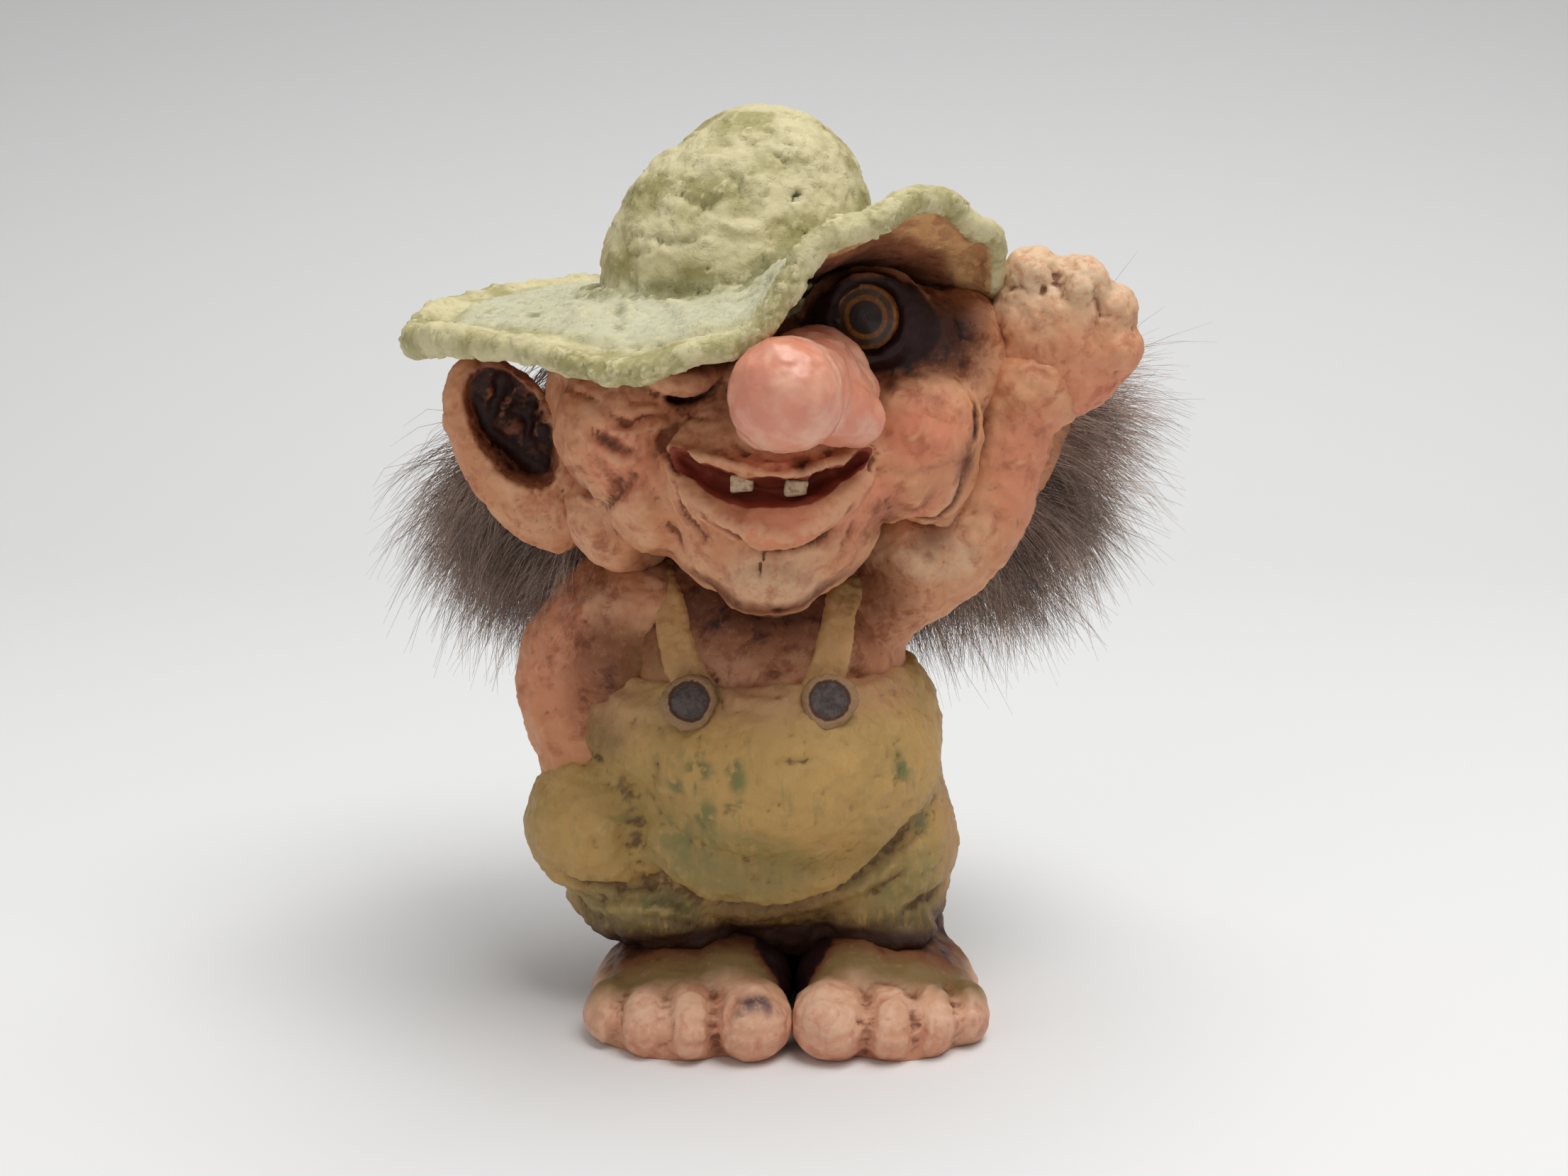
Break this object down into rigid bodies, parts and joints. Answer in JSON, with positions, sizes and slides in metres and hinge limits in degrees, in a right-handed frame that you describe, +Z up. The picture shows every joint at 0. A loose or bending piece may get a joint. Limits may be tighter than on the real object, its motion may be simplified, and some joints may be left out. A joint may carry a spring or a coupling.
{
  "type": "folk troll figurine",
  "caption": "Standing folk troll figure with a floppy hat, big nose and ears, dungarees, bare feet, glass eyes and fur hair, one arm raised to the brim.",
  "frame": {"origin": "on the floor, under the middle of the figure's box", "axes": "+Z up, the figure looks along -Y, its raised left arm is at +X"},
  "size_m": [0.1175, 0.0871, 0.1313],
  "materials": {
    "skin": "painted peach skin with a brown wash in the hollows",
    "nose_skin": "smooth pink paint with a soft gloss",
    "hat_paint": "sage green paint, dry-brushed with cream, on a rough casting",
    "trouser_paint": "olive and ochre paint with green patches",
    "strap_paint": "ochre green paint over the skin colour",
    "button_paint": "slate paint in an ochre ring",
    "tooth_paint": "cream paint",
    "eye_glass": "clear polished glass",
    "eye_amber": "amber lacquer behind the glass",
    "eye_black": "black lacquer behind the glass",
    "wire": "plain drawn wire",
    "foam": "pale open foam",
    "pelt": "soft undyed leather backing",
    "fur": "long fine grey-brown fur"
  },
  "bodies": {
    "root": {"foot_right": "skin", "foot_left": "skin", "trousers": "trouser_paint", "torso": "skin", "body_core": "foam", "arm_right": "skin", "arm_left": "skin", "hand_left": "skin", "strap_front_right": "strap_paint", "strap_front_left": "strap_paint", "strap_back_right": "strap_paint", "strap_back_left": "strap_paint", "button_right": "button_paint", "button_left": "button_paint", "head": "skin", "head_core": "foam", "nose": "nose_skin", "tooth_right": "tooth_paint", "tooth_left": "tooth_paint", "eye_glass_right": "eye_glass", "eye_glass_left": "eye_glass", "eye_iris_right": "eye_amber", "eye_iris_left": "eye_amber", "eye_pupil_right": "eye_black", "eye_pupil_left": "eye_black", "eye_shank_right": "wire", "eye_shank_left": "wire", "ear_right": "skin", "ear_left": "skin", "hat": "hat_paint", "pelt_strip": "pelt", "hair_right": "fur", "hair_left": "fur", "hair_back": "fur"}
  },
  "joints": []
}
